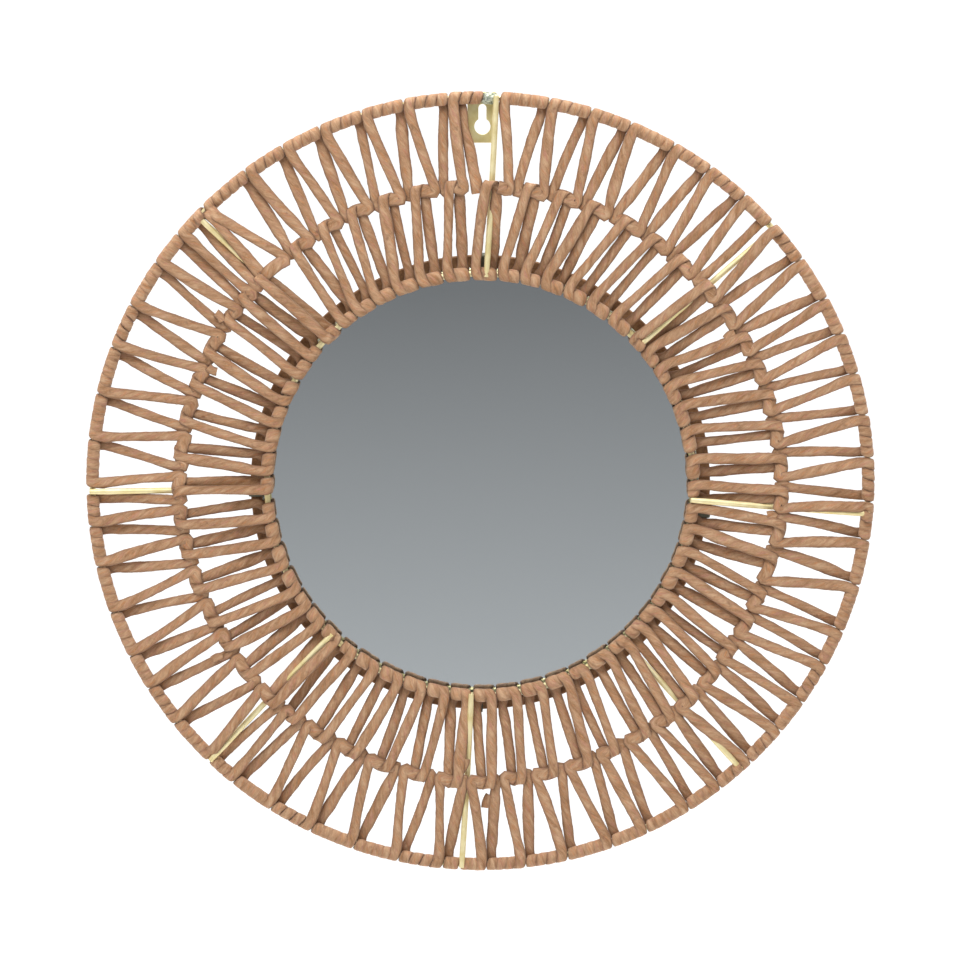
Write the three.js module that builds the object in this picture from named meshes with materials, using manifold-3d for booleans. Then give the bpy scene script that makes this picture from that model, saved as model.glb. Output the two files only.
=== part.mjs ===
// Round wall mirror with a welded wire frame and a netting of flat paper cord.
// Millimetres, +Z up, the glass faces -Y and the wall is on the +Y side.
// Angles are in degrees clockwise from the top, as seen from the front.
// The origin is on the hanger plate's flat back face, just below its keyhole.

import * as THREE from "three";
import { mergeVertices } from "three/addons/utils/BufferGeometryUtils.js";
import Module from "manifold-3d";

const wasm = await Module();
wasm.setup();

// Wire frame
const OUTER_DIAMETER = 400;
const WIRE_RADIUS = 1.5;
const WRAP_RADIUS = 3.1;
const OUTER_RING_RADIUS = OUTER_DIAMETER / 2 - WRAP_RADIUS;
const INNER_RING_RADIUS = 108.3;
const TOUCH_GAP = 0.3;
const SPOKE_DEPTH = -2 * WIRE_RADIUS - TOUCH_GAP;
const SPOKE_OVERRUN = 1.2;
// Where each spoke meets the outer and the inner ring, and whether a weaving apex sits on it
const SPOKES = [
  { outer: 2.3, inner: 1.6, atApex: true },
  { outer: 48.4, inner: 48.0, atApex: true },
  { outer: 94.0, inner: 93.6, atApex: false },
  { outer: 137.6, inner: 137.3, atApex: false },
  { outer: 182.8, inner: 182.5, atApex: false },
  { outer: 224.3, inner: 224.9, atApex: true },
  { outer: 269.3, inner: 269.7, atApex: true },
  { outer: 314.1, inner: 314.7, atApex: true },
];

// Glass, board and clips, front to back behind the wrapped inner ring
const GLASS_RADIUS = 111;
const GLASS_THICKNESS = 3;
const GLASS_FRONT = WRAP_RADIUS + TOUCH_GAP;
const BOARD_RADIUS = 117;
const BOARD_THICKNESS = 3;
const BOARD_FRONT = GLASS_FRONT + GLASS_THICKNESS + TOUCH_GAP;
const BOARD_BACK = BOARD_FRONT + BOARD_THICKNESS;
const CLIP_ANGLES = [0.9, 96.5, 181.2, 268.9];
const CLIP_WIDTH = 7.3;
const CLIP_THICKNESS = 0.8;
const CLIP_FRONT = WIRE_RADIUS + TOUCH_GAP;
const CLIP_FOOT_RADIUS = 107.5;
const CLIP_TAIL_RADIUS = 104;
const CLIP_BEND_RADIUS = 2.2;

// Hanger plate with its keyhole
const PLATE_WIDTH = 15;
const PLATE_HEIGHT = 25.4;
const PLATE_THICKNESS = 1.2;
const PLATE_CORNER = 1.6;
const PLATE_CENTRE_X = 1;
const PLATE_BOTTOM_Z = 174;
const PLATE_FRONT = WRAP_RADIUS + TOUCH_GAP;
// The weld that joins the plate to the bare stretch of the outer ring
const WELD_LEFT = 0.8;
const WELD_RIGHT = 8.3;
const WELD_BOTTOM_Z = 194.6;
const KEYHOLE_RADIUS = 4.05;
const KEYHOLE_ABOVE_BOTTOM = 8.2;
const KEYHOLE_SLOT_WIDTH = 4;
const KEYHOLE_SLOT_REACH = 11.2;
const MOUNT_ABOVE_BOTTOM = 2.05;

// Netting
const CELLS = 56;
const PITCH = 360 / CELLS;
const BAND_RADIUS = 152.5;
const HEAD_RADIUS = 157.2;
const CORD_WIDTH = 4.6;
const CORD_THICKNESS = 1.5;
// How far the two strands of a loop lie from its middle, in degrees, alone and astride a spoke
const APEX_SPREAD = 0.8;
const APEX_SPREAD_AT_SPOKE = 1.3;
const HEAD_SPREAD = 0.95;
const HEAD_SPREAD_AT_SPOKE = 1.6;
// Where an inner loop's two strands lie beside its wraps
const LOOP_LEAD = 2.5;
const LOOP_TRAIL = 0.7;
const LOOP_TRAIL_AT_SPOKE = 2.4;
// How far the wraps beside a spoke with no apex on it are moved on, so that its end lies in a gap
const GAP_SHIFT = 0.16 * PITCH;
// A foot lies this much nearer to the centre than the band
const FOOT_DROP = 0.8;
// Handwork unevenness, in degrees, and in millimetres for the band
const APEX_JITTER = 0.5;
const FOOT_JITTER = 0.3;
const WRAP_JITTER = 0.4;
const BAND_JITTER = 1;
// How far a hooked strand lies in front of or behind the band, at its feet and heads
const FOOT_LEVEL = 1.4;
const FOOT_HOOK = 0.05;
const HEAD_LEVEL = 2.4;
const BAND_DEPTH = -0.6;
const RIDGE_LIFT = 6.2;
const RIDGE_SPREAD = 6.5;
// Where a strand enters the wraps, measured from the wire's centre
const RING_ENTRY = 2.35;
// A strand that comes from behind stops this far from the wire's centre, just short of the wraps
const RING_STOP = 3.5;
const RING_LEVEL = 0.5;
// The two runs of cord meet on a line through the top and bottom spokes, where the rings are bare
const JOIN_ANGLE = 2.3;
const OUTER_BARE = [[0.1, 2.95], [182.2, 183.4]];
const INNER_BARE = [[0.6, 2.6], [181.5, 183.5]];
const SEAM_LIFT = 0.5;
// The runs' knots over the top spoke, in degrees from the join line, and where the last strand leaves the ring
const KNOT_START = -1.2;
const KNOT_TURN = 1.3;
const LEFT_KNOT = -2.6;
const LEFT_KNOT_DEPTH = -4;
const PLATE_SIDE_ANGLE = -2.75;

// Facets
// How far the middle of a ring's facet may lie inside the true circle
const RING_SAG = 0.33;
const DISC_SEGMENTS = 72;
const WIRE_SIDES = 6;
const BORE_SIDES = 4;
const BEND_SEGMENTS = 3;
const HOLE_SEGMENTS = 6;

const radians = THREE.MathUtils.degToRad;

function polar(radius, angle, depth) {
  return new THREE.Vector3(radius * Math.sin(radians(angle)), depth, radius * Math.cos(radians(angle)));
}

function angleBetween(a, b) {
  return ((((a - b) % 360) + 540) % 360) - 180;
}

// Solids

function closedGeometry(geometry) {
  const bare = geometry.clone();
  for (const name of ["normal", "uv", "uv1"]) {
    bare.deleteAttribute(name);
  }
  return mergeVertices(bare, 1e-3);
}

function signedVolume(geometry) {
  const position = geometry.getAttribute("position");
  const index = geometry.getIndex();
  const [a, b, c] = [new THREE.Vector3(), new THREE.Vector3(), new THREE.Vector3()];
  let volume = 0;
  for (let i = 0; i < index.count; i += 3) {
    a.fromBufferAttribute(position, index.getX(i));
    b.fromBufferAttribute(position, index.getX(i + 1));
    c.fromBufferAttribute(position, index.getX(i + 2));
    volume += a.dot(b.cross(c)) / 6;
  }
  return volume;
}

function toSolid(geometry) {
  const closed = closedGeometry(geometry);
  const triangles = Uint32Array.from(closed.getIndex().array);
  if (signedVolume(closed) < 0) {
    triangles.reverse();
  }
  const vertices = Float32Array.from(closed.getAttribute("position").array);
  return new wasm.Manifold(new wasm.Mesh({ numProp: 3, vertProperties: vertices, triVerts: triangles }));
}

function toGeometry(solid) {
  const mesh = solid.getMesh();
  const geometry = new THREE.BufferGeometry();
  geometry.setAttribute("position", new THREE.BufferAttribute(Float32Array.from(mesh.vertProperties), 3));
  geometry.setIndex(new THREE.BufferAttribute(Uint32Array.from(mesh.triVerts), 1));
  geometry.computeVertexNormals();
  return geometry;
}

function addAll(solids) {
  let level = solids;
  while (level.length > 1) {
    const next = [];
    for (let i = 0; i < level.length; i += 2) {
      next.push(i + 1 < level.length ? level[i].add(level[i + 1]) : level[i]);
    }
    level = next;
  }
  return level[0];
}

// A closed ring round the Y axis with a many-sided section
function ringGeometry(ringRadius, sectionRadius, sides) {
  const profile = [];
  for (let i = 0; i <= sides; i += 1) {
    const turn = (2 * Math.PI * (i % sides + 0.5)) / sides;
    const x = ringRadius + sectionRadius * Math.cos(turn);
    profile.push(new THREE.Vector2(x, sectionRadius * Math.sin(turn)));
  }
  const segments = Math.ceil(Math.PI / Math.acos(1 - RING_SAG / ringRadius));
  return new THREE.LatheGeometry(profile, segments);
}

// A flat disc facing -Y
function discGeometry(radius, front, thickness) {
  const profile = [
    new THREE.Vector2(0, front),
    new THREE.Vector2(radius, front),
    new THREE.Vector2(radius, front + thickness),
    new THREE.Vector2(0, front + thickness),
  ];
  return new THREE.LatheGeometry(profile, DISC_SEGMENTS);
}

// A straight round bar between two points
function rodGeometry(start, end, radius, sides) {
  const rod = new THREE.CylinderGeometry(radius, radius, start.distanceTo(end), sides);
  const along = end.clone().sub(start).normalize();
  rod.applyQuaternion(new THREE.Quaternion().setFromUnitVectors(new THREE.Vector3(0, 1, 0), along));
  const middle = start.clone().add(end).multiplyScalar(0.5);
  return rod.translate(middle.x, middle.y, middle.z);
}

// A flat strand laid through the points, its width in the plane of the frame
function strandGeometry(points, width, thickness) {
  const sideOf = (from, to) => new THREE.Vector3(to.z - from.z, 0, from.x - to.x).normalize();
  const corners = [];
  points.forEach((point, i) => {
    const before = i > 0 ? sideOf(points[i - 1], point) : sideOf(point, points[1]);
    const after = i < points.length - 1 ? sideOf(point, points[i + 1]) : before;
    const side = before.clone().add(after).normalize();
    side.multiplyScalar(width / 2 / Math.max(side.dot(before), 0.6));
    const half = new THREE.Vector3(0, thickness / 2, 0);
    corners.push(point.clone().add(side).sub(half), point.clone().add(side).add(half));
    corners.push(point.clone().sub(side).add(half), point.clone().sub(side).sub(half));
  });
  const index = [0, 1, 2, 0, 2, 3];
  for (let i = 0; i + 4 < corners.length; i += 4) {
    for (let j = 0; j < 4; j += 1) {
      const k = (j + 1) % 4;
      index.push(i + j, i + 4 + j, i + 4 + k, i + j, i + 4 + k, i + k);
    }
  }
  const last = corners.length - 4;
  index.push(last, last + 2, last + 1, last, last + 3, last + 2);
  const geometry = new THREE.BufferGeometry().setFromPoints(corners);
  geometry.setIndex(index);
  return geometry;
}

// Where the netting's strands run

function wobble(cell, seed) {
  return 0.5 * Math.sin(2.4 * cell + seed) + 0.5 * Math.sin(5.1 * cell + 2 * seed);
}

function spokeAtApex(cell) {
  const nominal = cell * PITCH + apexDrift(cell * PITCH);
  return SPOKES.find((spoke) => spoke.atApex && Math.abs(angleBetween(spoke.outer, nominal)) < PITCH / 2);
}

// The cells are a little wider on the right than on the left
function apexDrift(angle) {
  return 1 + 2 * Math.cos(radians(angle - 25));
}

// Angle on the outer ring where the strands of a cell meet
function apexAngle(cell) {
  const nominal = cell * PITCH + apexDrift(cell * PITCH);
  const spoke = spokeAtApex(cell);
  return nominal + (spoke ? angleBetween(spoke.outer, nominal) : APEX_JITTER * wobble(cell, 1));
}

// Angle of the foot where the strands of a cell and of the next one hook together
function footAngle(cell) {
  return (apexAngle(cell) + apexAngle(cell + 1)) / 2 + FOOT_JITTER * wobble(cell, 4);
}

// The inner loops lean anticlockwise, most at the upper right
function wrapLean(angle) {
  return -1.2 - 0.9 * Math.cos(radians(angle - 40));
}

// Angle of the wraps beside an inner loop: near a spoke they follow it, under its end or either side of it
function wrapAngle(cell) {
  const head = apexAngle(cell);
  let angle = head + wrapLean(head) + WRAP_JITTER * wobble(cell, 2);
  for (const spoke of SPOKES) {
    const away = angleBetween(head, spoke.outer);
    const wanted = spoke.inner + away + (spoke.atApex ? 0 : GAP_SHIFT);
    const nearness = THREE.MathUtils.clamp(1.25 - Math.abs(away) / (2 * PITCH), 0, 1);
    angle += nearness * angleBetween(wanted, angle);
  }
  return angle;
}

// The band swells forward over each spoke
function bandDepth(angle) {
  let lift = 0;
  for (const spoke of SPOKES) {
    const away = angleBetween(angle, (spoke.outer + spoke.inner) / 2);
    lift = Math.max(lift, Math.exp(-((away / RIDGE_SPREAD) ** 2)));
  }
  return BAND_DEPTH - RIDGE_LIFT * lift;
}

// The outer loop: down from the ring's back, along the band, and up to the ring's front
function outerLoop(cell) {
  const apex = apexAngle(cell);
  const atSpoke = spokeAtApex(cell) !== undefined;
  const spread = atSpoke ? APEX_SPREAD_AT_SPOKE : APEX_SPREAD;
  const [left, right] = [footAngle(cell - 1), footAngle(cell)];
  const radius = BAND_RADIUS + BAND_JITTER * wobble(cell, 3);
  const seamLift = cell === CELLS / 2 + 1 ? SEAM_LIFT : 0;
  const points = [
    polar(OUTER_RING_RADIUS - RING_STOP, apex - spread, RING_LEVEL),
    polar(radius - FOOT_DROP, left - FOOT_HOOK, bandDepth(left) + FOOT_LEVEL + seamLift),
    polar(radius - FOOT_DROP, right + FOOT_HOOK, bandDepth(right) - FOOT_LEVEL),
    polar(OUTER_RING_RADIUS - RING_ENTRY, apex + spread, -RING_LEVEL),
  ];
  if (atSpoke) {
    points.splice(2, 0, polar(radius, apex, bandDepth(apex)));
  }
  return points;
}

// The inner loop: up from the inner ring's front, over the band, and down to the ring's back
function innerLoop(cell) {
  const head = apexAngle(cell);
  const atSpoke = spokeAtApex(cell) !== undefined;
  const wrap = wrapAngle(cell);
  const spread = atSpoke ? HEAD_SPREAD_AT_SPOKE : HEAD_SPREAD;
  const trail = atSpoke ? LOOP_TRAIL_AT_SPOKE : LOOP_TRAIL;
  return [
    polar(INNER_RING_RADIUS + RING_ENTRY, wrap - LOOP_LEAD, -RING_LEVEL),
    polar(HEAD_RADIUS, head - spread, bandDepth(head) - HEAD_LEVEL),
    polar(HEAD_RADIUS, head + spread, bandDepth(head) + HEAD_LEVEL),
    polar(INNER_RING_RADIUS + RING_STOP, wrap + trail, RING_LEVEL),
  ];
}

// The first strands of the right-hand run, knotted together at its start over the top spoke
function rightStart() {
  const [, , middle, right, top] = outerLoop(0);
  const foot = innerLoop(0)[3];
  const start = polar(BAND_RADIUS, JOIN_ANGLE + KNOT_START, middle.y);
  const knot = polar(BAND_RADIUS + CORD_WIDTH / 2, JOIN_ANGLE + KNOT_TURN, (middle.y + right.y) / 2);
  return [[start, right, top], [knot, foot]];
}

// The last strands of the left-hand run, past the hanger plate and knotted at the top spoke
function leftEnd() {
  const foot = innerLoop(0)[0];
  const knot = polar(BAND_RADIUS - CORD_WIDTH / 2, JOIN_ANGLE + LEFT_KNOT, LEFT_KNOT_DEPTH);
  const tip = polar(BAND_RADIUS + CORD_WIDTH / 2, JOIN_ANGLE + LEFT_KNOT, LEFT_KNOT_DEPTH);
  return [[polar(OUTER_RING_RADIUS - RING_ENTRY, PLATE_SIDE_ANGLE, RING_LEVEL), knot], [foot, tip]];
}

// Pieces

function spokeEnds(spoke) {
  return [
    polar(INNER_RING_RADIUS - SPOKE_OVERRUN, spoke.inner, SPOKE_DEPTH),
    polar(OUTER_RING_RADIUS + SPOKE_OVERRUN, spoke.outer, SPOKE_DEPTH),
  ];
}

// The plate's outline with its keyhole, plus the weld lug that reaches forward to the ring
function hangerPlate() {
  const [w, h, c] = [PLATE_WIDTH / 2, PLATE_HEIGHT, PLATE_CORNER];
  const outline = new THREE.Shape();
  outline.moveTo(-w + c, 0);
  outline.lineTo(w - c, 0);
  outline.absarc(w - c, c, c, -Math.PI / 2, 0, false);
  outline.lineTo(w, h - c);
  outline.absarc(w - c, h - c, c, 0, Math.PI / 2, false);
  outline.lineTo(-w + c, h);
  outline.absarc(-w + c, h - c, c, Math.PI / 2, Math.PI, false);
  outline.lineTo(-w, c);
  outline.absarc(-w + c, c, c, Math.PI, 1.5 * Math.PI, false);
  const slot = KEYHOLE_SLOT_WIDTH / 2;
  const neck = Math.acos(slot / KEYHOLE_RADIUS);
  const keyhole = new THREE.Path();
  keyhole.absarc(0, KEYHOLE_ABOVE_BOTTOM, KEYHOLE_RADIUS, Math.PI - neck, 2 * Math.PI + neck, false);
  keyhole.absarc(0, KEYHOLE_ABOVE_BOTTOM + KEYHOLE_SLOT_REACH - slot, slot, 0, Math.PI, false);
  outline.holes.push(keyhole);
  const plate = new THREE.ExtrudeGeometry(outline, {
    depth: PLATE_THICKNESS,
    bevelEnabled: false,
    curveSegments: HOLE_SEGMENTS,
  });
  plate.rotateX(Math.PI / 2);
  plate.translate(PLATE_CENTRE_X, PLATE_FRONT + PLATE_THICKNESS, PLATE_BOTTOM_Z);
  const weldFront = WIRE_RADIUS + TOUCH_GAP;
  const weldTop = PLATE_BOTTOM_Z + PLATE_HEIGHT - 1;
  const weldDepth = PLATE_FRONT + PLATE_THICKNESS / 2 - weldFront;
  const weld = new THREE.BoxGeometry(WELD_RIGHT - WELD_LEFT, weldDepth, weldTop - WELD_BOTTOM_Z);
  const [weldX, weldZ] = [(WELD_LEFT + WELD_RIGHT) / 2, (WELD_BOTTOM_Z + weldTop) / 2];
  weld.translate(weldX, weldFront + weldDepth / 2, weldZ);
  return toGeometry(toSolid(plate).add(toSolid(weld)));
}

// A strip from behind the inner ring, out past the board's edge and back in behind the board
function clipGeometry(angle) {
  const inner = BOARD_RADIUS + TOUCH_GAP;
  const outer = inner + CLIP_THICKNESS;
  const front = CLIP_FRONT;
  const back = BOARD_BACK + TOUCH_GAP + CLIP_THICKNESS;
  const bend = CLIP_BEND_RADIUS;
  const strip = new THREE.Shape();
  strip.moveTo(CLIP_FOOT_RADIUS, front);
  strip.lineTo(outer - bend, front);
  strip.absarc(outer - bend, front + bend, bend, -Math.PI / 2, 0, false);
  strip.lineTo(outer, back - bend);
  strip.absarc(outer - bend, back - bend, bend, 0, Math.PI / 2, false);
  strip.lineTo(CLIP_TAIL_RADIUS, back);
  strip.lineTo(CLIP_TAIL_RADIUS, back - CLIP_THICKNESS);
  strip.lineTo(inner, back - CLIP_THICKNESS);
  strip.lineTo(inner, front + CLIP_THICKNESS);
  strip.lineTo(CLIP_FOOT_RADIUS, front + CLIP_THICKNESS);
  const clip = new THREE.ExtrudeGeometry(strip, {
    depth: CLIP_WIDTH,
    bevelEnabled: false,
    curveSegments: BEND_SEGMENTS,
  });
  clip.translate(0, 0, -CLIP_WIDTH / 2);
  clip.rotateY(-Math.PI / 2);
  return clip.rotateY(radians(angle));
}

// A block across a ring at an angle, as wide as the bare stretch of wire there
function bareStretch(radius, from, to) {
  const width = radians(to - from) * radius;
  const block = new THREE.BoxGeometry(width, 4 * WRAP_RADIUS, 4 * WRAP_RADIUS);
  return toSolid(block.translate(0, 0, radius).rotateY(radians((from + to) / 2)));
}

// The wraps round a ring on one side of the join line, hollow for the wire
function sleeve(ringRadius, side, bare) {
  const wrapped = toSolid(ringGeometry(ringRadius, WRAP_RADIUS, WIRE_SIDES));
  const boreRadius = (WIRE_RADIUS + TOUCH_GAP) * Math.SQRT2;
  const bore = toSolid(ringGeometry(ringRadius, boreRadius, BORE_SIDES));
  const half = new THREE.BoxGeometry(OUTER_DIAMETER, 4 * WRAP_RADIUS, 2 * OUTER_DIAMETER);
  half.translate((side * OUTER_DIAMETER) / 2, 0, 0).rotateY(radians(JOIN_ANGLE));
  const gaps = bare.map(([from, to]) => bareStretch(ringRadius, from, to));
  return wrapped.subtract(addAll([bore, ...gaps])).intersect(toSolid(half));
}

// One run of the netting: its wraps on both rings and its loops, cut clear of the metal it grips
function weave(firstCell, lastCell, side, ends) {
  const wraps = [
    sleeve(OUTER_RING_RADIUS, side, OUTER_BARE),
    sleeve(INNER_RING_RADIUS, side, INNER_BARE),
  ];
  const strands = [...ends];
  for (let cell = firstCell; cell <= lastCell; cell += 1) {
    strands.push(outerLoop(cell), innerLoop(cell));
  }
  const loops = strands.map((points) => toSolid(strandGeometry(points, CORD_WIDTH, CORD_THICKNESS)));
  const cutters = SPOKES.map((spoke) => {
    const [inner, outer] = spokeEnds(spoke);
    const along = outer.clone().sub(inner).normalize().multiplyScalar(TOUCH_GAP);
    const radius = WIRE_RADIUS + TOUCH_GAP + 0.1;
    return toSolid(rodGeometry(inner.sub(along), outer.add(along), radius, WIRE_SIDES));
  });
  for (const angle of CLIP_ANGLES) {
    const room = new THREE.BoxGeometry(CLIP_WIDTH + 2 * TOUCH_GAP, 4, BOARD_RADIUS - CLIP_FOOT_RADIUS);
    room.translate(0, CLIP_FRONT - TOUCH_GAP + 2, (BOARD_RADIUS + CLIP_FOOT_RADIUS) / 2);
    cutters.push(toSolid(room.rotateY(radians(angle))));
  }
  return addAll([...wraps, ...loops]).subtract(addAll(cutters));
}

const gold = { color: 0xd6cb92, roughness: 0.42, metalness: 0.75 };
const cordPaper = { color: 0xbb8c69, roughness: 0.85, metalness: 0 };
const glassLook = { color: 0x9aa1a4, roughness: 0.03, metalness: 1 };
const board = { color: 0x8a6444, roughness: 0.9, metalness: 0 };
const darkSteel = { color: 0x4a5548, roughness: 0.5, metalness: 0.8 };

const mirror = new THREE.Group();
const centred = new THREE.Group();
centred.position.set(-PLATE_CENTRE_X, -(PLATE_FRONT + PLATE_THICKNESS), -(PLATE_BOTTOM_Z + MOUNT_ABOVE_BOTTOM));
mirror.add(centred);

function addPiece(name, geometry, look) {
  const mesh = new THREE.Mesh(geometry, new THREE.MeshStandardMaterial(look));
  mesh.name = name;
  centred.add(mesh);
}

addPiece("outer_ring", toGeometry(toSolid(ringGeometry(OUTER_RING_RADIUS, WIRE_RADIUS, WIRE_SIDES))), gold);
addPiece("inner_ring", toGeometry(toSolid(ringGeometry(INNER_RING_RADIUS, WIRE_RADIUS, WIRE_SIDES))), gold);
SPOKES.forEach((spoke, i) => {
  const [inner, outer] = spokeEnds(spoke);
  addPiece(`spoke_${i + 1}`, rodGeometry(inner, outer, WIRE_RADIUS, WIRE_SIDES), gold);
});
addPiece("hanger_plate", hangerPlate(), gold);
addPiece("mirror_glass", discGeometry(GLASS_RADIUS, GLASS_FRONT, GLASS_THICKNESS), glassLook);
addPiece("backing_board", discGeometry(BOARD_RADIUS, BOARD_FRONT, BOARD_THICKNESS), board);
CLIP_ANGLES.forEach((angle, i) => {
  addPiece(`board_clip_${i + 1}`, clipGeometry(angle), darkSteel);
});
addPiece("cord_weave_right", toGeometry(weave(1, CELLS / 2, 1, rightStart())), cordPaper);
addPiece("cord_weave_left", toGeometry(weave(CELLS / 2 + 1, CELLS - 1, -1, leftEnd())), cordPaper);

export default mirror;
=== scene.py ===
import math
import random

import bmesh
import bpy
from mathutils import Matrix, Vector


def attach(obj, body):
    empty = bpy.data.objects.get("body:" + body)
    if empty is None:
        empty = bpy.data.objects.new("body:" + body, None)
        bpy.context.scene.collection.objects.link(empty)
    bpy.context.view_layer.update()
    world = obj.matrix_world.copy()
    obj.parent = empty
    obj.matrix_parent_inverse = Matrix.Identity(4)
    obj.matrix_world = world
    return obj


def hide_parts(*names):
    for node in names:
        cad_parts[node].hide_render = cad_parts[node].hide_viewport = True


# Round wall mirror: a welded gold wire frame netted with twisted paper cord round a disc of
# mirror glass. It hangs by a keyhole plate, faces -Y and has the wall on its +Y side.
# Angles are in degrees clockwise from the top as seen from the front, lengths in millimetres.

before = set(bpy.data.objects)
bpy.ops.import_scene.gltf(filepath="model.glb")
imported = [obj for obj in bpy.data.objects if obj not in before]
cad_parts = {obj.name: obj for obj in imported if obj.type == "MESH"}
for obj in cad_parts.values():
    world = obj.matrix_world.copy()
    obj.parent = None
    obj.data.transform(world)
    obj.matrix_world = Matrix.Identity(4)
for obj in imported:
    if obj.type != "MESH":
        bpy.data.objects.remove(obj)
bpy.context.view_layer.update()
random.seed(56)

# The ring wires' centre in the frame of the hanger plate's back face
MM = 0.001
MIRROR_CENTRE = Vector((-1.0, -4.6, -176.05))

# Wire frame
WIRE_RADIUS = 1.5
OUTER_RING_RADIUS = 196.9
INNER_RING_RADIUS = 108.3
SPOKE_DEPTH = -3.3
SPOKE_OVERRUN = 1.2
# Where each spoke meets the outer and the inner ring, and whether a weaving apex sits on it
SPOKES = [
    (2.3, 1.6, True),
    (48.4, 48.0, True),
    (94.0, 93.6, False),
    (137.6, 137.3, False),
    (182.8, 182.5, False),
    (224.3, 224.9, True),
    (269.3, 269.7, True),
    (314.1, 314.7, True),
]

# Glass, board and clips
GLASS_RADIUS = 111
GLASS_FRONT = 3.4
GLASS_BACK = 6.4
BOARD_RADIUS = 117
BOARD_FRONT = 6.7
BOARD_BACK = 9.7
CLIP_ANGLES = [0.9, 96.5, 181.2, 268.9]
CLIP_WIDTH = 7.3
CLIP_THICKNESS = 0.8
CLIP_FRONT = 1.8
CLIP_FOOT_RADIUS = 107.5
CLIP_TAIL_RADIUS = 104
CLIP_BEND_RADIUS = 2.2

# Hanger plate
PLATE_WIDTH = 15
PLATE_HEIGHT = 25.4
PLATE_THICKNESS = 1.2
PLATE_CORNER = 1.6
PLATE_CENTRE_X = 1
PLATE_BOTTOM_Z = 174
PLATE_FRONT = 3.4
KEYHOLE_RADIUS = 4.05
KEYHOLE_ABOVE_BOTTOM = 8.2
KEYHOLE_SLOT_RADIUS = 2
KEYHOLE_SLOT_REACH = 11.2

# Netting of flat twisted cord: a band of outer loops, and inner loops that hang on it
CELLS = 56
PITCH = 360 / CELLS
BAND_RADIUS = 152.9
HEAD_RADIUS = 154.9
BAND_DEPTH = -0.6
RIDGE_LIFT = 6.2
RIDGE_SPREAD = 6.5
CORD_WIDTH = 5.15
CORD_THICKNESS = 1.75
CORD_LAY = 42
CORD_RIDGE = 0.7
# The power that squares the cord's round section off
CORD_FLATTENING = 0.72
WRAP_COIL = WIRE_RADIUS + CORD_THICKNESS / 2

# How far, in degrees, the weaver's hand set some of the cells off their even spacing
APEX_SHIFT = {
    0: -0.3, 1: 0.5, 2: 0.6, 4: 0.8, 9: 0.8, 10: -0.2, 11: -0.6, 17: 1.5, 18: 0.9, 19: 1.3, 20: 0.6,
    23: -0.4, 24: 0.3, 30: 0.7, 31: 0.8, 32: 0.8, 33: 1.6, 34: 1.8, 36: 1.3, 37: 0.6, 39: 0.4,
    40: 1.1, 41: 0.8, 44: 0.3, 45: 0.8, 46: 1.3, 47: 1.2, 48: -0.3, 51: 0.4, 52: -0.6, 53: -1.1,
    54: -1.0, 55: -1.2,
}
FOOT_SHIFT = {1: -0.4, 8: 0.6, 13: 0.6, 16: 0.8, 48: -0.6, 49: 1.6}
LAST_FOOT = 357.6
# Cells whose wraps on the inner ring stand before their places, by the lower right spoke
WRAP_SHIFT = {20: -0.8, 21: -2.4, 22: -2.4, 23: -1.3}

# The turn at a foot of the band: radius, degrees aside, level off the band, and girth
FOOT_TURN = [
    (157.6, 1.05, 0.5, 0.98),
    (154.0, 0.82, 0.6, 1.08),
    (151.3, 0.9, 0.6, 1.2),
    (152.3, 1.85, 0.4, 1.26),
]
# The cord's girth along the band, behind the netting, and where it comes to the front
BAND_GIRTH = 1.3
BACK_GIRTH = 0.96
FRONT_GIRTH = 1.1
HEAD_GIRTH = 1.05

# Free strands: how far from a ring's middle they start, and how far in front of it or behind
STRAND_START = 6
STRAND_LEVEL = 2.0
INNER_FRONT_LEVEL = 2.2
# How far in front of the rings a strand lies that crosses over a spoke
OVER_SPOKE = 5.4

# A cell's two strands at the outer ring: half their spread, wider by a spoke, and their shift
RING_SPREAD = 0.76
SPOKE_SPREADS = {0: 1.3, 7: 1.0, 35: 0.95, 42: 1.3, 49: 1.4}
RING_SHIFT = {7: -0.9, 14: 0.6, 49: 0.7}
# How far after its place at the band a cell's back strand starts
BACK_SPREAD = {0: 1.1, 7: 1.1, 35: 1.1, 42: 2.0, 49: 1.1}
# How far before its place on the inner ring a cell's front strand is
FRONT_LEAD = 2.7
# Cells whose front strand crosses over a spoke at the outer ring, and at the inner ring
OVER_OUTER_END = (7, 14, 35, 49)
OVER_INNER_END = (7, 35, 49)
# How far before their places the front strands start at the band and the inner ring in the
# three cells where they lie along a spoke and cover it
COVERING = {22: (0.95, 2.7), 42: (-0.6, 0.3), 49: (-0.1, 0.25)}

# Wraps round the rings. Turns are in degrees: 0 in front of the wire and 90 on its outer side
FRONT_TURN = -25
BACK_TURN = 180
WRAP_SPACING = 1.75
WRAP_STEP = 30
# The wraps at either end of a run: all their turns, and the turn at which they stop advancing
CLOSING_TURN = 900
CLOSING_FRONT = 760
RIGHT_RUN_END = 182.2
LEFT_RUN_START = 183.6
LEFT_RUN_END = 359.7
# How far a wrap stands off where it passes over a spoke's end, and over how many degrees
LASH_RISE = 3.3
LASH_SPREAD = 0.75
# The spokes' ends that cord is lashed over, and the inner ones that show between two wraps
OUTER_ENDS = [48.4, 94.0, 137.6]
LASHED_INNER_END = 137.3
INNER_ENDS = [inner for outer, inner, at_apex in SPOKES if at_apex or inner == LASHED_INNER_END]
SHOWN_INNER_ENDS = [inner for outer, inner, at_apex in SPOKES if inner not in INNER_ENDS]

CORD_STEP = 1.15
CORD_SIDES = 14
WIRE_SIDES = 24
WIRE_STEP = 1.5


def polar(radius, angle, depth=0.0):
    turn = math.radians(angle)
    return Vector((radius * math.sin(turn), depth, radius * math.cos(turn)))


def clockwise(angle):
    turn = math.radians(angle)
    return Vector((math.cos(turn), 0, -math.sin(turn)))


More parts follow.
